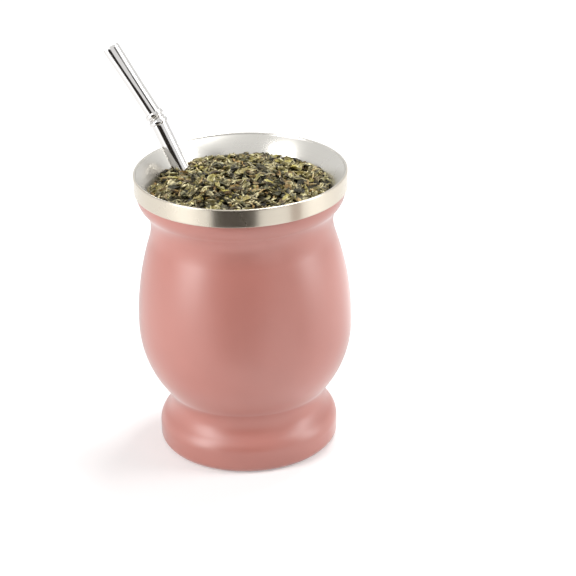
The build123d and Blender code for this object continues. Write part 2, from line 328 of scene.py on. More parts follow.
def liner_line(cup, skin, top):
    """The liner's side from its floor's middle to a top point; skin is measured outward."""
    belly = (BELLY_RADIUS - LINER_BELLY_INSET, LINER_BELLY_HEIGHT)
    neck = (cup.neck_radius - LINER_NECK_INSET, LINER_NECK_HEIGHT)
    side, corner = LINER_SIDE_ARC, LINER_CORNER_ARC
    drop = belly[1] - LINER_FLOOR - corner
    run = math.sqrt((side - corner) ** 2 - drop**2)
    tilt = -math.atan2(drop, run)
    centre = (belly[0] - side, belly[1])
    inner = (centre[0] + run, LINER_FLOOR + corner)
    trumpet_centre, radius = trumpet(cup)
    reach = math.asin((top[1] - LINER_NECK_HEIGHT) / (radius - skin))
    mouth = (trumpet_centre, LINER_NECK_HEIGHT)
    parts = [
        np.array([[POLE_RING, LINER_FLOOR - skin]]),
        arc(inner, corner + skin, -math.pi / 2, tilt, 14),
        arc(centre, side + skin, tilt, 0, 20)[1:],
        s_curve(belly, neck, LINER_BELLY_ARC, -skin)[1:],
        arc(mouth, radius - skin, math.pi, math.pi - reach, 40)[1:],
    ]
    return np.concatenate(parts)


def liner_profile(cup):
    """Outline from pole to pole: the inside, over the lip, down the band and down the back."""
    lip = cup.lip_width / 2
    band_inside = RIM_RADIUS - BAND_THICKNESS
    centre, radius = trumpet(cup)
    back = radius - cup.liner_wall
    back_top = LINER_NECK_HEIGHT + math.sqrt(back**2 - (centre - band_inside) ** 2)
    inside = liner_line(cup, 0, (RIM_RADIUS - cup.lip_width, CUP_HEIGHT - lip))
    rounded = arc((RIM_RADIUS - lip, CUP_HEIGHT - lip), lip, math.pi, 0, 14)[1:]
    low = CUP_HEIGHT - cup.band_height
    edge = BAND_EDGE_ARC
    foot = arc((RIM_RADIUS - edge, low + edge), edge, 0, -math.pi / 2, 6)
    steps = 10
    side = np.linspace(CUP_HEIGHT - lip, low + edge, steps)
    band = np.stack([np.full(steps, RIM_RADIUS), side], -1)
    inner_edge = np.array([[band_inside, low], [band_inside, back_top]])
    behind = liner_line(cup, cup.liner_wall, (band_inside, back_top))[::-1]
    return np.concatenate([inside, rounded, band[1:], foot[1:], inner_edge, behind[1:]])


# -------------------------------------------------------------------- materials
def principled(name):
    """A new material with its shader and node tree."""
    material = bpy.data.materials.new(name)
    material.use_nodes = True
    tree = material.node_tree
    return material, tree, tree.nodes["Principled BSDF"]


def add(tree, kind, **values):
    """A node with some of its sockets or fields set by name."""
    node = tree.nodes.new(kind)
    for key, value in values.items():
        if key in node.inputs:
            node.inputs[key].default_value = value
        else:
            setattr(node, key, value)
    return node


def noise(tree, source, scale, detail=3.0, stretch=(1, 1, 1), roughness=0.5):
    """Noise on object coordinates stretched by a mapping."""
    mapping = add(tree, "ShaderNodeMapping")
    mapping.inputs["Scale"].default_value = stretch
    tree.links.new(source, mapping.inputs["Vector"])
    node = add(tree, "ShaderNodeTexNoise", Scale=scale, Detail=detail, Roughness=roughness)
    tree.links.new(mapping.outputs["Vector"], node.inputs["Vector"])
    return node.outputs["Fac"]


def spread(tree, value, low, high):
    """Value from 0..1 mapped to low..high."""
    node = add(tree, "ShaderNodeMapRange")
    node.inputs["To Min"].default_value = low
    node.inputs["To Max"].default_value = high
    tree.links.new(value, node.inputs["Value"])
    return node.outputs["Result"]


def bumped(tree, shader, height, strength, distance):
    """Adds a bump to the shader's normal."""
    node = add(tree, "ShaderNodeBump", Strength=strength, Distance=distance)
    tree.links.new(height, node.inputs["Height"])
    tree.links.new(node.outputs["Normal"], shader.inputs["Normal"])


def blend_colours(tree, factor, first, second):
    """Mix of two colours by a factor."""
    node = add(tree, "ShaderNodeMix", data_type="RGBA")
    tree.links.new(factor, node.inputs["Factor"])
    for socket, value in ((node.inputs[6], first), (node.inputs[7], second)):
        if isinstance(value, bpy.types.NodeSocket):
            tree.links.new(value, socket)
        else:
            socket.default_value = (*value, 1)
    return node.outputs[2]


def scaled(value, factor):
    """A colour made lighter or darker."""
    return tuple(min(1, channel * factor) for channel in value)


def coating_material(cup):
    """Satin powder coat: a fine orange peel and a faint mottling."""
    material, tree, shader = principled("powder_coat")
    place = add(tree, "ShaderNodeTexCoord").outputs["Object"]
    mottle = noise(tree, place, 90, 2)
    colours = blend_colours(tree, mottle, scaled(cup.coating, 0.965), scaled(cup.coating, 1.035))
    tree.links.new(colours, shader.inputs["Base Color"])
    gloss = spread(tree, noise(tree, place, 260, 2), 0.36, 0.42)
    tree.links.new(gloss, shader.inputs["Roughness"])
    shader.inputs["Specular IOR Level"].default_value = 0.9
    shader.inputs["Sheen Weight"].default_value = 1.0
    shader.inputs["Sheen Roughness"].default_value = 0.32
    bumped(tree, shader, noise(tree, place, 1500, 2), 0.10, 0.00006)
    return material


def brushed_material(name, steel, outer_steel, rough, streak, upright):
    """Steel brushed round the axis: fine streaks that change with height and radius only.

    The streaks read a vector of distance from the axis and height, so each is a ring. The
    outer steel starts beyond the middle of the lip; for the liner it is the same steel painted
    darker and warmer, a painted reflection. On an upright wall the ring grain blurs
    reflections up and down more than sideways.
    """
    material, tree, shader = principled(name)
    place = add(tree, "ShaderNodeTexCoord").outputs["Object"]
    parts = add(tree, "ShaderNodeSeparateXYZ")
    tree.links.new(place, parts.inputs["Vector"])
    flat = add(tree, "ShaderNodeCombineXYZ")
    tree.links.new(parts.outputs["X"], flat.inputs["X"])
    tree.links.new(parts.outputs["Y"], flat.inputs["Y"])
    distance = add(tree, "ShaderNodeVectorMath", operation="LENGTH")
    tree.links.new(flat.outputs["Vector"], distance.inputs[0])
    ring = add(tree, "ShaderNodeCombineXYZ")
    tree.links.new(distance.outputs["Value"], ring.inputs["X"])
    tree.links.new(parts.outputs["Z"], ring.inputs["Z"])
    lines = noise(tree, ring.outputs["Vector"], 2600, 3, roughness=0.7)
    cloud = noise(tree, place, 60, 3)
    beyond = add(tree, "ShaderNodeMapRange")
    beyond.inputs["From Min"].default_value = RIM_RADIUS - 0.7 * MM
    beyond.inputs["From Max"].default_value = RIM_RADIUS - 0.2 * MM
    tree.links.new(distance.outputs["Value"], beyond.inputs["Value"])
    outside = beyond.outputs["Result"]
    # Beyond the lip the second colour takes over: on the liner it is a painted reflection, the
    # same steel painted darker and warmer.
    low, high = (
        blend_colours(tree, outside, scaled(steel, share), scaled(outer_steel, share))
        for share in (0.90, 1.06)
    )
    colours = blend_colours(tree, lines, low, high)
    tree.links.new(colours, shader.inputs["Base Color"])
    shader.inputs["Metallic"].default_value = 1.0
    shader.inputs["Anisotropic"].default_value = 0.7 if upright else 0
    upward = add(tree, "ShaderNodeCombineXYZ", Z=1.0)
    tree.links.new(upward.outputs["Vector"], shader.inputs["Tangent"])
    gloss = spread(tree, cloud, rough - 0.02, rough + 0.03)
    tree.links.new(gloss, shader.inputs["Roughness"])
    bumped(tree, shader, lines, streak, 0.00005)
    return material


def polished_material(straw):
    """Polished tube steel: nearly a mirror, with faint drawing lines."""
    material, tree, shader = principled("polished_steel")
    place = add(tree, "ShaderNodeTexCoord").outputs["Object"]
    cloud = noise(tree, place, 220, 3)
    colours = blend_colours(tree, cloud, scaled(straw.steel, 0.95), scaled(straw.steel, 1.03))
    tree.links.new(colours, shader.inputs["Base Color"])
    shader.inputs["Metallic"].default_value = 1.0
    tree.links.new(spread(tree, cloud, 0.07, 0.13), shader.inputs["Roughness"])
    bumped(tree, shader, noise(tree, place, 900, 2), 0.04, 0.00003)
    return material


def leaf_material(name, main, light, dark):
    """Dry leaf: each flake has its own tone, with veins, dull patches and paler edges, partly the
    leaf's own pale margins and partly a painted highlight.
    """
    material, tree, shader = principled(name)
    place = add(tree, "ShaderNodeTexCoord").outputs["Object"]
    tone = add(tree, "ShaderNodeAttribute", attribute_name="tone").outputs["Fac"]
    edge = add(tree, "ShaderNodeAttribute", attribute_name="edge").outputs["Fac"]
    patches = noise(tree, place, 900, 4, roughness=0.65)
    body = blend_colours(tree, tone, dark, main)
    contrast = spread(tree, patches, -1.3, 2.9)
    body = blend_colours(tree, contrast, scaled(main, 0.06), body)
    # Paler flake edges: partly the leaf's own pale margins, partly a painted highlight.
    pale_edge_highlight = add(tree, "ShaderNodeMath", operation="MULTIPLY", use_clamp=True)
    tree.links.new(edge, pale_edge_highlight.inputs[0])
    tree.links.new(spread(tree, noise(tree, place, 320, 2), -3.0, 3.4), pale_edge_highlight.inputs[1])
    body = blend_colours(tree, pale_edge_highlight.outputs["Value"], body, light)
    tree.links.new(body, shader.inputs["Base Color"])
    shader.inputs["Roughness"].default_value = 0.50
    shader.inputs["Specular IOR Level"].default_value = 0.25
    bumped(tree, shader, noise(tree, place, 1500, 4), 0.8, 0.00025)
    return material


def core_material(leaves):
    """The core seen between the flakes, painted near black as the shade that falls between them.
    """
    material, tree, shader = principled("leaf_gap_shade")
    place = add(tree, "ShaderNodeTexCoord").outputs["Object"]
    grain = noise(tree, place, 1400, 4)
    # Painted shade: near-black grain between the gap colour and a very dark olive.
    colours = blend_colours(tree, grain, leaves.gap, scaled(leaves.olive, 0.15))
    tree.links.new(colours, shader.inputs["Base Color"])
    shader.inputs["Roughness"].default_value = 0.85
    bumped(tree, shader, grain, 0.8, 0.0003)
    return material


# ------------------------------------------------------------------------ straw
STRAW_TEA_AZIMUTH = math.radians(145)
STRAW_TEA_DROP = 4.8 * MM
STRAW_WALL_GAP = 3.7 * MM
STRAW_FOOT_AZIMUTH = math.radians(-21.8)
STRAW_FOOT_PLACE = 17.25 * MM
STRAW_FLOOR_FIT = 0.05 * MM
STEM_ABOVE_TEA = 20.7 * MM
MOUTHPIECE_BEND = math.radians(8.8)
MOUTHPIECE_LENGTH = 31.9 * MM
ROUND_LENGTH = 12.0 * MM
TIP_WIDENING, TIP_FLATTENING = 0.25 * MM, 0.4 * MM
TIP_TURN = math.radians(128)
COLLAR_NEAR = 0.7 * MM
COLLAR_WIDTH = 1.7 * MM
COLLAR_FIT = 0.02 * MM
TUBE_STEPS = 40


class StrawLine(NamedTuple):
    """Middle of the stem's foot, the two tubes' directions and the point where they meet."""

    foot: np.ndarray
    stem_way: np.ndarray
    mouth_way: np.ndarray
    joint: np.ndarray


def unit(way):
    """A direction of length one."""
    return way / np.linalg.norm(way)


def bent(way, bend):
    """A direction leaned further over by an angle, in its own upright plane."""
    lean = math.acos(way[2]) + bend
    level = unit(np.array([way[0], way[1], 0.0]))
    return level * math.sin(lean) + np.array([0, 0, math.cos(lean)])


def standing(radius, azimuth, height):
    """A point at a distance and an angle round the cup's axis."""
    return np.array([radius * math.cos(azimuth), radius * math.sin(azimuth), height])


def straw_line(cup, straw):
    """The straw's line, from the liner's floor past the heap's top at a gap from the wall.

    The foot's lowest edge rests on the floor, so its middle is higher by the radius times the
    level share of the stem's direction, found in a few rounds.
    """
    top = CUP_HEIGHT - STRAW_TEA_DROP
    place = float(wall_radius(cup, top)) - straw.stem_radius - STRAW_WALL_GAP
    at_tea = standing(place, STRAW_TEA_AZIMUTH, top)
    lift = 0
    for _ in range(8):
        height = LINER_FLOOR + STRAW_FLOOR_FIT + lift
        foot = standing(STRAW_FOOT_PLACE, STRAW_FOOT_AZIMUTH, height)
        way = unit(at_tea - foot)
        lift = straw.stem_radius * math.hypot(way[0], way[1])
    return StrawLine(foot, way, bent(way, MOUTHPIECE_BEND), at_tea + way * STEM_ABOVE_TEA)


def across(way, turn=0.0):
    """Two unit directions across a tube, the first level before it is turned."""
    level = unit(np.cross([0, 0, 1], way))
    other = np.cross(way, level)
    c, s = math.cos(turn), math.sin(turn)
    return c * level + s * other, c * other - s * level


def pipe(origin, way, turn, stations, wide, thick, cut=None, sides=48):
    """A closed line of stations carried round a tube.

    A point is origin + way d + e (w cos t) + f (h sin t), with d, w and h given a station.
    A cut is rows of the outline, a point and a normal: those rows slide along the tube onto
    the plane.
    """
    first, second = across(way, turn)
    angle = np.linspace(0, TAU, sides, endpoint=False)
    ring = wide[:, None, None] * np.cos(angle)[None, :, None] * first
    ring = ring + thick[:, None, None] * np.sin(angle)[None, :, None] * second
    points = origin + stations[:, None, None] * way + ring
    if cut is not None:
        rows, level, normal = cut
        gap = (points[rows] - level) @ normal
        points[rows] -= (gap / (way @ normal))[..., None] * way
    return points, outward(points, grid_faces(len(stations), sides, True, True))


def tube_line(length, radius_of, wall, steps, round_end):
    """Stations and radii of a closed wall: up the outside, over the end, down the inside."""
    along = np.linspace(0, length - (wall / 2 if round_end else 0), steps)
    lip = np.linspace(0, math.pi, 7)[1:-1] if round_end else np.array([])
    stations = np.concatenate([along, along[-1] + wall / 2 * np.sin(lip), along[::-1]])
    drop = np.concatenate([np.zeros(steps), wall / 2 * (1 - np.cos(lip)), np.full(steps, wall)])
    return stations, [radius(stations) - drop for radius in radius_of]


def at_joint(line, rows):
    """Rows of a tube's outline cut on the plane halfway between the two directions."""
    return np.array(rows), line.joint, unit(line.stem_way + line.mouth_way)


def ease(value):
    """Smooth step: 3 v v - 2 v v v."""
    value = np.clip(value, 0, 1)
    return value * value * (3 - 2 * value)


def stem_mesh(straw, line):
    """The lower tube, from its foot to the plane of the bend."""
    length = float(np.linalg.norm(line.joint - line.foot))

    def same(station):
        return np.full(len(station), straw.stem_radius)

    stations, (wide, thick) = tube_line(length, (same, same), straw.wall, TUBE_STEPS, False)
    cut = at_joint(line, [TUBE_STEPS - 1, TUBE_STEPS])
    return pipe(line.foot, line.stem_way, 0, stations, wide, thick, cut)


def mouthpiece_mesh(straw, line):
    """The upper tube: round, then flattened to an oval toward its open tip."""

    def grow(station):
        return ease((station - ROUND_LENGTH) / (MOUTHPIECE_LENGTH - ROUND_LENGTH))

    def wide(station):
        return straw.mouthpiece_radius + TIP_WIDENING * grow(station)

    def thick(station):
        return straw.mouthpiece_radius - TIP_FLATTENING * grow(station)

    stations, (width, height) = tube_line(
        MOUTHPIECE_LENGTH, (wide, thick), straw.wall, TUBE_STEPS, True
    )
    cut = at_joint(line, [0, len(stations) - 1])
    return pipe(line.joint, line.mouth_way, TIP_TURN, stations, width, height, cut)


def collar_mesh(straw, line, way, side, tube_radius):
    """A bead ring: a rounded bar section carried round the tube.

    At an angle a the bar is at cos a, to the power 0.7, along and sin a, to the power 0.6, out.
    """
    inner = tube_radius + COLLAR_FIT
    middle = COLLAR_NEAR + COLLAR_WIDTH / 2
    angle = np.linspace(0, math.pi, 13)
    bulge = straw.collar_radius - inner
    reach = np.sign(np.cos(angle)) * np.abs(np.cos(angle)) ** 0.7
    stations = side * (middle - COLLAR_WIDTH / 2 * reach)
    radius = inner + bulge * np.sin(angle) ** 0.6
    return pipe(line.joint, way, 0, stations, radius, radius)


# ------------------------------------------------------------------ tea leaves
TEA_EDGE_RADIUS = 33.704
TEA_EDGE_HEIGHT = 104.0
TEA_RISE = 5.2
LUMP_HEIGHT = 0.55
LUMP_PITCH = 9.0
CORE_DROP = 1.8 * MM
CORE_BOTTOM = 94.0 * MM
CORE_SIDE_TOP = 101.6 * MM
CORE_EDGE_HEIGHT = 103.2 * MM
CORE_EDGE_GAP, CORE_SIDE_GAP = 0.15 * MM, 0.2 * MM
GRAIN_HEIGHT = 0.25 * MM
SPREAD_RADIUS = 33.0 * MM
FLAKE_PROUD = 0.6 * MM
FLAKE_WALL_GAP, FLAKE_STRAW_GAP = 0.12 * MM, 0.06 * MM
STRAW_ROOM = 0.6 * MM


def tea_height(x, y):
    """Height of the heap in metres: a low dome and rounded lumps, sums of crossed sines.

    The named sizes that it uses are in millimetres.
    """
    x, y = x / MM, y / MM
    dome = TEA_EDGE_HEIGHT + TEA_RISE * (1 - (x * x + y * y) / TEA_EDGE_RADIUS**2)
    wave = TAU / LUMP_PITCH
    lumps = np.sin(wave * x + 0.6) * np.cos(wave * 0.83 * y - 0.4)
    lumps += 0.7 * np.sin(wave * 0.55 * (x - y) + 1.9) * np.cos(wave * 0.47 * (x + y))
    lumps += 0.5 * np.sin(wave * 1.35 * y + 2.2) * np.sin(wave * 1.21 * x - 1.1)
    return (dome + LUMP_HEIGHT * lumps) * MM


def core_mesh(cup):
    """The heap's smaller core: rings on the lowered top, closed down to a flat underside.

    Height is the heap's height less a drop, plus two crossed sines of a grain's size.
    """
    sectors, rings = 160, 44
    turn = np.linspace(0, TAU, sectors, endpoint=False)
    share = np.linspace(0.01, 1, rings)[::-1]
    limit = wall_radius(cup, CORE_EDGE_HEIGHT) - CORE_EDGE_GAP
    radius = share[:, None] * limit
    x, y = radius * np.cos(turn), radius * np.sin(turn)
    grain = GRAIN_HEIGHT * np.sin(x / MM * 2.9 + 1) * np.sin(y / MM * 3.3)
    top = tea_height(x, y) - CORE_DROP + grain * (share[:, None] < 0.97)
    heights = np.linspace(CORE_BOTTOM, CORE_SIDE_TOP, 8)
    side = wall_radius(cup, heights) - CORE_SIDE_GAP
    side_x, side_y = side[:, None] * np.cos(turn), side[:, None] * np.sin(turn)
    side_z = np.broadcast_to(heights[:, None], side_x.shape)
    middle = np.full((1, sectors), POLE_RING)
    bottom = np.full_like(middle, CORE_BOTTOM)
    base = np.stack([middle * np.cos(turn), middle * np.sin(turn), bottom], -1)
    crown = np.stack([x, y, top], -1)
    walls = np.stack([side_x, side_y, side_z], -1)
    return with_poles(np.concatenate([base, walls, crown]))


LEAF_RINGS = 5
LEAF_SIDES = 8
LEAF_POINTS = LEAF_RINGS * LEAF_SIDES + 2


def leaf_faces(count):
    """Faces of many flakes with one pattern: rings of quads with a fan at each tip."""
    quads = grid_faces(LEAF_RINGS, LEAF_SIDES, False, True)
    side = np.arange(LEAF_SIDES)
    after = (side + 1) % LEAF_SIDES
    root, tip = LEAF_POINTS - 2, LEAF_POINTS - 1
    last = (LEAF_RINGS - 1) * LEAF_SIDES
    low = np.stack([np.full(LEAF_SIDES, root), after, side], -1)
    high = np.stack([np.full(LEAF_SIDES, tip), last + side, last + after], -1)
    shift = (np.arange(count) * LEAF_POINTS)[:, None, None]
    fours = (quads[None, :, ::-1] + shift).reshape(-1, 4)
    threes = (np.concatenate([low, high])[None, :, ::-1] + shift).reshape(-1, 3)
    return fours.tolist() + threes.tolist()


def leaf_points(random, length, width, thickness, roll, arch, twist):
    """Crumpled flakes as one array of points.

    Along the flake u runs from -1 to 1; the half width is w (1 - u^4)^0.6 with a random
    share a ring. Round the flake a point is at (w cos t, h sin t). The section is rolled:
    side s becomes (sin(k s) / k, (1 - cos(k s)) / k). The spine is arched by a u^2 and the
    section turned by a twist in u.
    """
    count = len(length)
    u = np.linspace(-0.8, 0.8, LEAF_RINGS)[None, :, None]
    angle = np.linspace(0, TAU, LEAF_SIDES, endpoint=False)[None, None, :]
    ragged = random.uniform(0.55, 1.25, (count, LEAF_RINGS, 1))
    half = width[:, None, None] * (1 - u**4) ** 0.6 * ragged
    side = half * np.cos(angle)
    lift = thickness[:, None, None] * np.sin(angle)
    bend = roll[:, None, None]
    x = np.sin(bend * side) / bend
    z = (1 - np.cos(bend * side)) / bend + lift
    y = length[:, None, None] * u + np.zeros_like(side)
    turn = twist[:, None, None] * u
    x, z = x * np.cos(turn) - z * np.sin(turn), x * np.sin(turn) + z * np.cos(turn)
    z = z + arch[:, None, None] * u**2
    rings = np.stack([x, y, z], -1).reshape(count, -1, 3)
    rings += random.normal(0, 0.10, rings.shape) * width[:, None, None]
    ends = np.zeros((count, 2, 3))
    ends[:, 0, 1] = -length
    ends[:, 1, 1] = length
    ends[:, :, 2] = arch[:, None]
    edge = np.abs(np.cos(angle)) ** 3 + np.zeros((count, LEAF_RINGS, 1))
    edge = np.concatenate([edge.reshape(count, -1), np.ones((count, 2))], 1)
    return np.concatenate([rings, ends], 1), edge


def turns(random, count, tilt):
    """Rotation arrays: a tilt about a random level axis after a full random turn about Z."""
    yaw = random.uniform(0, TAU, count)
    way = random.uniform(0, TAU, count)
    lean = random.normal(0, tilt, count)
    c, s = np.cos(yaw), np.sin(yaw)
    zero, one = np.zeros(count), np.ones(count)
    spin = np.stack([c, -s, zero, s, c, zero, zero, zero, one], -1).reshape(-1, 3, 3)
    axis = np.stack([np.cos(way), np.sin(way), zero], -1)
    kx, ky, kz = axis.T
    cross = np.stack([zero, -kz, ky, kz, zero, -kx, -ky, kx, zero], -1).reshape(-1, 3, 3)
    tipped = np.eye(3) + np.sin(lean)[:, None, None] * cross
    tipped = tipped + (1 - np.cos(lean))[:, None, None] * (cross @ cross)
    return tipped @ spin


def on_heap(random, count, sink):
    """Places spread evenly over the heap: radius is the root of a random share."""
    radius = SPREAD_RADIUS * np.sqrt(random.uniform(0, 1, count))
    turn = random.uniform(0, TAU, count)
    x, y = radius * np.cos(turn), radius * np.sin(turn)
    z = tea_height(x, y) - random.uniform(*sink, count)
    return np.stack([x, y, z], -1)


def from_stem(points, line):
    """Vectors to points from the nearest places on the stem's middle line."""
    from_foot = points - line.foot
    return from_foot - (from_foot @ line.stem_way)[..., None] * line.stem_way


def keep_clear(points, cup, straw, line):
    """Presses flakes to the heap, in from the liner's wall and out of the straw's stem.

    What stands too proud of the heap's top keeps only a fifth of the excess.
    """
    over = points[..., 2] - tea_height(points[..., 0], points[..., 1]) - FLAKE_PROUD
    points[..., 2] -= 0.8 * np.maximum(over, 0)
    radius = np.hypot(points[..., 0], points[..., 1])
    limit = wall_radius(cup, points[..., 2]) - FLAKE_WALL_GAP
    share = np.minimum(1, limit / np.maximum(radius, 1e-9))
    points[..., 0] *= share
    points[..., 1] *= share
    away = from_stem(points, line)
    distance = np.linalg.norm(away, axis=-1)
    need = straw.stem_radius + FLAKE_STRAW_GAP
    push = np.maximum(need / np.maximum(distance, 1e-9), 1)
    points += away * (push - 1)[..., None]
    return points


class Kind(NamedTuple):
    """One kind of flake: its name, seed and share of the count, then sizes as shares."""

    name: str
    seed: int
    share: float
    length: float = 1.0
    width: float = 1.0
    roll: float = 1.0
    sink: tuple = (0.2 * MM, 2.2 * MM)


def scatter(kind, material):
    """One piece of many flakes of a kind, sunk into the heap by up to a depth."""
    scene = bpy.context.scene
    cup, straw, leaves = scene.mate_cup, scene.mate_straw, scene.mate_leaves
    line = straw_line(cup, straw)
    random = np.random.default_rng(kind.seed)
    middle = on_heap(random, int(leaves.count * kind.share), kind.sink)
    gap = np.linalg.norm(from_stem(middle, line), axis=1)
    middle = middle[gap > straw.stem_radius + STRAW_ROOM]
    count = len(middle)
    length = leaves.length / 2 * random.lognormal(0, 0.28, count).clip(0.5, 1.8) * kind.length
    width = length * random.uniform(0.30, 0.60, count) * kind.width
    thickness = random.uniform(0.22, 0.55, count) * MM
    roll = random.uniform(300, 1300, count) * kind.roll
    arch = length * random.normal(0.0, 0.40, count)
    twist = random.normal(0, 0.9, count)
    flakes, edge = leaf_points(random, length, width, thickness, roll, arch, twist)
    flakes = flakes @ turns(random, count, 0.5).transpose(0, 2, 1)
    points = keep_clear(flakes + middle[:, None, :], cup, straw, line)
    tone = np.repeat(random.uniform(0, 1, count) ** 2.2, LEAF_POINTS)
    attributes = (("tone", tone), ("edge", edge))
    piece = put_mesh(kind.name, points, leaf_faces(count), material, False, attributes)
    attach(piece, BODY)
    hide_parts("tea_leaves")


# ------------------------------------------------------------------- operators
class BuildShell(bpy.types.Operator):
    """Builds the coated outer shell"""

    bl_idname = "mate.build_shell"
    bl_label = "Coated shell"

    def execute(self, context):
        cup = context.scene.mate_cup
        points, faces = turned(shell_profile(cup), cup.sectors)
        piece = put_mesh("coated_shell", points, faces, coating_material(cup))
        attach(piece, BODY)
        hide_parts("outer_shell")
        return {"FINISHED"}


class BuildLiner(bpy.types.Operator):
    """Builds the steel liner with its lip and rim band, and finishes the base plate"""

    bl_idname = "mate.build_liner"
    bl_label = "Steel liner"

    def execute(self, context):
        cup = context.scene.mate_cup
        points, faces = turned(liner_profile(cup), cup.sectors, True)
        # The band's outside gets the painted reflection colour: the same steel painted darker and
        # warmer.
        steel = brushed_material("brushed_liner", cup.steel, cup.band_painted_reflection, 0.27, 0.06, True)
        piece = put_mesh("steel_liner", points, faces, steel)
        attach(piece, BODY)
        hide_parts("inner_liner")
        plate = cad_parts["base_plate"]
        plate.data.materials.clear()
        base = scaled(cup.steel, 0.9)
        plate.data.materials.append(brushed_material("spun_base", base, base, 0.34, 0.4, False))
        return {"FINISHED"}


class BuildStraw(bpy.types.Operator):
    """Builds the straw's stem, mouthpiece and two collars"""

    bl_idname = "mate.build_straw"
    bl_label = "Straw"

    def execute(self, context):
        straw = context.scene.mate_straw
        line = straw_line(context.scene.mate_cup, straw)
        steel = polished_material(straw)
        lower = collar_mesh(straw, line, line.stem_way, -1, straw.stem_radius)
        upper = collar_mesh(straw, line, line.mouth_way, 1, straw.mouthpiece_radius)
        pieces = (
            ("stem_tube", "straw_stem", stem_mesh(straw, line)),
            ("mouth_tube", "straw_mouthpiece", mouthpiece_mesh(straw, line)),
            ("lower_collar", "straw_collar_lower", lower),
            ("upper_collar", "straw_collar_upper", upper),
        )
        for name, node, (points, faces) in pieces:
            piece = put_mesh(name, points, faces, steel)
            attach(piece, BODY)
            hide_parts(node)
        return {"FINISHED"}


class BuildLeaves(bpy.types.Operator):
    """Builds the heap's core and the five kinds of leaf flake on it"""

    bl_idname = "mate.build_leaves"
    bl_label = "Tea leaves"

    def execute(self, context):
        scene = context.scene
        cup, leaves = scene.mate_cup, scene.mate_leaves
        points, faces = core_mesh(cup)
        core = put_mesh("leaf_core", points, faces, core_material(leaves))
        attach(core, BODY)
        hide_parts("tea_leaves")
        # dark is the gaps' painted shade colour, also used as the darkest end of the olive and
        # green flakes' random tone.
        olive, green, lime, brown, pale, dark = (
            tuple(getattr(leaves, key))
            for key in ("olive", "bluegreen", "lime", "brown", "pale", "gap")
        )
        shallow = 1.0 * MM
        kinds = (
            (Kind("olive_flakes", 11, 0.42), "olive_leaf", olive, pale, dark),
            (
                Kind("green_flakes", 12, 0.18, 1.1, 1.1, 0.9),
                "green_leaf", green, scaled(pale, 0.8), dark,
            ),
            (
                Kind("lime_flakes", 13, 0.16, 0.85, 0.85, 1.0, (0.0, shallow)),
                "lime_leaf", lime, scaled(pale, 1.1), scaled(olive, 0.4),
            ),
            (
                Kind("brown_flakes", 14, 0.14, 0.9, 0.9, 1.1, (0.0, 1.2 * shallow)),
                "brown_leaf", brown, scaled(pale, 0.8), scaled(brown, 0.1),
            ),
            (
                Kind("pale_stalks", 15, 0.10, 0.8, 0.38, 0.6, (0.0, 0.7 * shallow)),
                "pale_stalk", pale, scaled(pale, 1.2), scaled(brown, 0.9),
            ),
        )
        for kind, name, main, light, deep in kinds:
            scatter(kind, leaf_material(name, main, light, deep))
        return {"FINISHED"}


class BuildStage(bpy.types.Operator):
    """Builds the floor, lamps, surroundings and camera"""

    bl_idname = "mate.build_stage"
    bl_label = "Stage"

    def execute(self, context):
        stage = context.scene.mate_stage
        build_floor(stage)
        build_cards()
        build_lamps(stage)
        build_world(stage)
        build_camera()
        context.scene.view_settings.view_transform = "Standard"
        return {"FINISHED"}


# ----------------------------------------------------------------------- stage
FLOOR_HALF = 4.0
FLOOR_GLOW = 0.28
CARD_LIFT = 0.004
LAMP_TARGET = (0, 0, 0.07)
VIEW_PITCH = math.radians(24.572)
VIEW_ROLL = math.radians(1.497)
VIEW_DISTANCE = 0.8
VIEW_HEIGHT = 50.0 * MM
VIEW_RIGHT, VIEW_UP = 16.63 * MM, 10.67 * MM
LENS = 130.0


def seen_ray(tree):
    """1 for camera, glossy and transmission rays, which show the plain background."""
    path = add(tree, "ShaderNodeLightPath")
    total = path.outputs["Is Camera Ray"]
    for label in ("Is Glossy Ray", "Is Transmission Ray"):
        node = add(tree, "ShaderNodeMath", operation="MAXIMUM")
        tree.links.new(total, node.inputs[0])
        tree.links.new(path.outputs[label], node.inputs[1])
        total = node.outputs["Value"]
    return total


def sheet(name, corners, material):
    """A flat four-sided stage piece."""
    piece = put_mesh(name, np.array(corners, float), [[0, 1, 2, 3]], material, smooth=False)
    return piece


def build_floor(stage):
    """A pale floor: diffuse, lifted toward white for what sees it directly."""
    material, tree, shader = principled("pale_floor")
    place = add(tree, "ShaderNodeTexCoord").outputs["Object"]
    faint = noise(tree, place, 3, 2)
    colours = blend_colours(tree, faint, scaled(stage.floor, 0.995), scaled(stage.floor, 1.005))
    tree.links.new(colours, shader.inputs["Base Color"])
    shader.inputs["Roughness"].default_value = 0.9
    shader.inputs["Specular IOR Level"].default_value = 0.0
    glow = add(tree, "ShaderNodeMath", operation="MULTIPLY")
    glow.inputs[1].default_value = FLOOR_GLOW
    tree.links.new(seen_ray(tree), glow.inputs[0])
    shader.inputs["Emission Color"].default_value = (1, 1, 1, 1)
    tree.links.new(glow.outputs["Value"], shader.inputs["Emission Strength"])
    half = FLOOR_HALF
    corners = [(-half, -half, 0), (half, -half, 0), (half, half, 0), (-half, half, 0)]
    sheet("floor", corners, material)


def card_material(name, base):
    """A flat finish with no gloss."""
    material, tree, shader = principled(name)
    shader.inputs["Base Color"].default_value = (*base, 1)
    shader.inputs["Roughness"].default_value = 1.0
    shader.inputs["Specular IOR Level"].default_value = 0.0
    return material


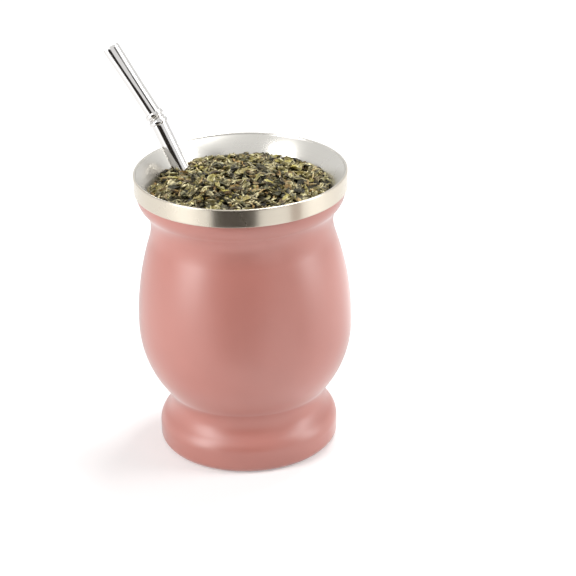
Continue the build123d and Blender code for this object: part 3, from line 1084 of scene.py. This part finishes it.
def build_cards():
    """Cards that only reflections and soft light meet: polished metal needs dark sides.

    A card spans two azimuths, clockwise from the front, at a distance, and reaches from low
    to high, or lies on the floor from near to the distance.
    """
    grey = card_material("grey_card", (0.042, 0.034, 0.027))
    dark = card_material("dark_card", (0.030, 0.026, 0.022))
    brown = card_material("brown_card", (0.50, 0.43, 0.40))
    # name, finish, start, end, distance, low, high, seen by soft light, seen by reflections
    upright = (
        ("front_low", dark, -42, 30, 1.3, 0.0, 0.50, False, True),
        ("front_high", dark, -29, 17, 1.3, 0.0, 1.25, True, False),
        ("tall", dark, 27, 48, 1.3, 0.98, 1.35, False, True),
        ("right", brown, 51, 64, 1.3, 0.0, 0.60, False, True),
        ("side", dark, 88, 94, 0.75, 0.12, 0.45, False, True),
    )
    # name, finish, start, end, near, distance
    level = (("front_floor", grey, -29, 17, 0.15, 1.3), ("right_floor", brown, 51, 64, 0.15, 1.3))

    def on_floor(turn, reach, height):
        angle = math.radians(turn)
        return math.sin(angle) * reach, -math.cos(angle) * reach, height + CARD_LIFT

    made = []
    for name, finish, start, end, far, low, high, diffuse, glossy in upright:
        edges = ((start, low), (start, high), (end, high), (end, low))
        corners = [on_floor(turn, far, height) for turn, height in edges]
        made.append((sheet(name + "_card", corners, finish), diffuse, glossy))
    for name, finish, start, end, near, far in level:
        edges = ((start, near), (start, far), (end, far), (end, near))
        corners = [on_floor(turn, reach, 0) for turn, reach in edges]
        made.append((sheet(name + "_card", corners, finish), False, True))
    for card, diffuse, glossy in made:
        card.visible_camera = False
        card.visible_shadow = False
        card.visible_diffuse = diffuse
        card.visible_glossy = glossy


def lamp(name, place, target, width, height, power):
    """A rectangular lamp aimed at a point."""
    light = bpy.data.lights.new(name, "AREA")
    light.shape = "RECTANGLE"
    light.size, light.size_y = width, height
    light.energy = power
    piece = bpy.data.objects.new(name, light)
    way = (Vector(target) - Vector(place)).to_track_quat("-Z", "Y")
    piece.matrix_world = Matrix.Translation(place) @ way.to_matrix().to_4x4()
    bpy.context.scene.collection.objects.link(piece)


def build_lamps(stage):
    """Tall soft lamps at the left and right, and a small square one above."""
    lamp("left_lamp", (-0.80, -0.45, 0.50), LAMP_TARGET, 0.45, 1.0, stage.side_power)
    lamp("right_lamp", (0.93, -0.10, 0.50), LAMP_TARGET, 0.40, 1.0, stage.side_power * 0.8)
    lamp("top_lamp", (0.22, 0.30, 0.95), LAMP_TARGET, 0.3, 0.3, stage.top_power)


def build_world(stage):
    """White for what sees it directly, plain grey light for the rest."""
    world = bpy.data.worlds.new("surroundings")
    world.use_nodes = True
    bpy.context.scene.world = world
    tree = world.node_tree
    level = add(tree, "ShaderNodeMapRange")
    level.inputs["To Min"].default_value = stage.world_level
    level.inputs["To Max"].default_value = 1.0
    tree.links.new(seen_ray(tree), level.inputs["Value"])
    back = tree.nodes["Background"]
    back.inputs["Color"].default_value = (1, 1, 1, 1)
    tree.links.new(level.outputs["Result"], back.inputs["Strength"])


def build_camera():
    """A long lens from the front, looking down with a slight roll, off the cup's axis."""
    right = Vector((1, 0, 0))
    up = Vector((0, math.sin(VIEW_PITCH), math.cos(VIEW_PITCH)))
    back = Vector((0, -math.cos(VIEW_PITCH), math.sin(VIEW_PITCH)))
    place = Vector((0, 0, VIEW_HEIGHT)) + back * VIEW_DISTANCE
    place = place + right * VIEW_RIGHT + up * VIEW_UP
    side = right * math.cos(VIEW_ROLL) - up * math.sin(VIEW_ROLL)
    top = right * math.sin(VIEW_ROLL) + up * math.cos(VIEW_ROLL)
    camera = bpy.data.cameras.new("camera")
    camera.lens = LENS
    camera.sensor_width = 36
    camera.clip_start, camera.clip_end = 0.01, 50
    piece = bpy.data.objects.new("camera", camera)
    turn = Matrix((side, top, back)).transposed().to_4x4()
    piece.matrix_world = Matrix.Translation(place) @ turn
    bpy.context.scene.collection.objects.link(piece)
    bpy.context.scene.camera = piece


class MatePanel(bpy.types.Panel):
    """Lists the build steps and their settings"""

    bl_label = "Mate gourd drink"
    bl_idname = "VIEW3D_PT_mate_gourd"
    bl_space_type = "VIEW_3D"
    bl_region_type = "UI"
    bl_category = "Mate"

    def draw(self, context):
        scene = context.scene
        groups = (scene.mate_cup, scene.mate_straw, scene.mate_leaves, scene.mate_stage)
        for group in groups:
            box = self.layout.box()
            for key in group.__annotations__:
                box.prop(group, key)
        for operator in OPERATORS:
            self.layout.operator(operator.bl_idname)


SETTINGS = {
    "mate_cup": CupSettings,
    "mate_straw": StrawSettings,
    "mate_leaves": LeafSettings,
    "mate_stage": StageSettings,
}
OPERATORS = (BuildShell, BuildLiner, BuildStraw, BuildLeaves, BuildStage)


def register():
    """Registers the settings, the operators and the panel."""
    for group in SETTINGS.values():
        bpy.utils.register_class(group)
    for key, group in SETTINGS.items():
        setattr(bpy.types.Scene, key, PointerProperty(type=group))
    for operator in OPERATORS:
        bpy.utils.register_class(operator)
    bpy.utils.register_class(MatePanel)


def unregister():
    """Takes them away in the opposite order."""
    bpy.utils.unregister_class(MatePanel)
    for operator in reversed(OPERATORS):
        bpy.utils.unregister_class(operator)
    for key in SETTINGS:
        delattr(bpy.types.Scene, key)
    for group in reversed(list(SETTINGS.values())):
        bpy.utils.unregister_class(group)


def main():
    """Builds every piece and the stage."""
    register()
    bpy.ops.mate.build_shell()
    bpy.ops.mate.build_liner()
    bpy.ops.mate.build_straw()
    bpy.ops.mate.build_leaves()
    bpy.ops.mate.build_stage()
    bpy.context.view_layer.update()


if __name__ == "__main__":
    main()
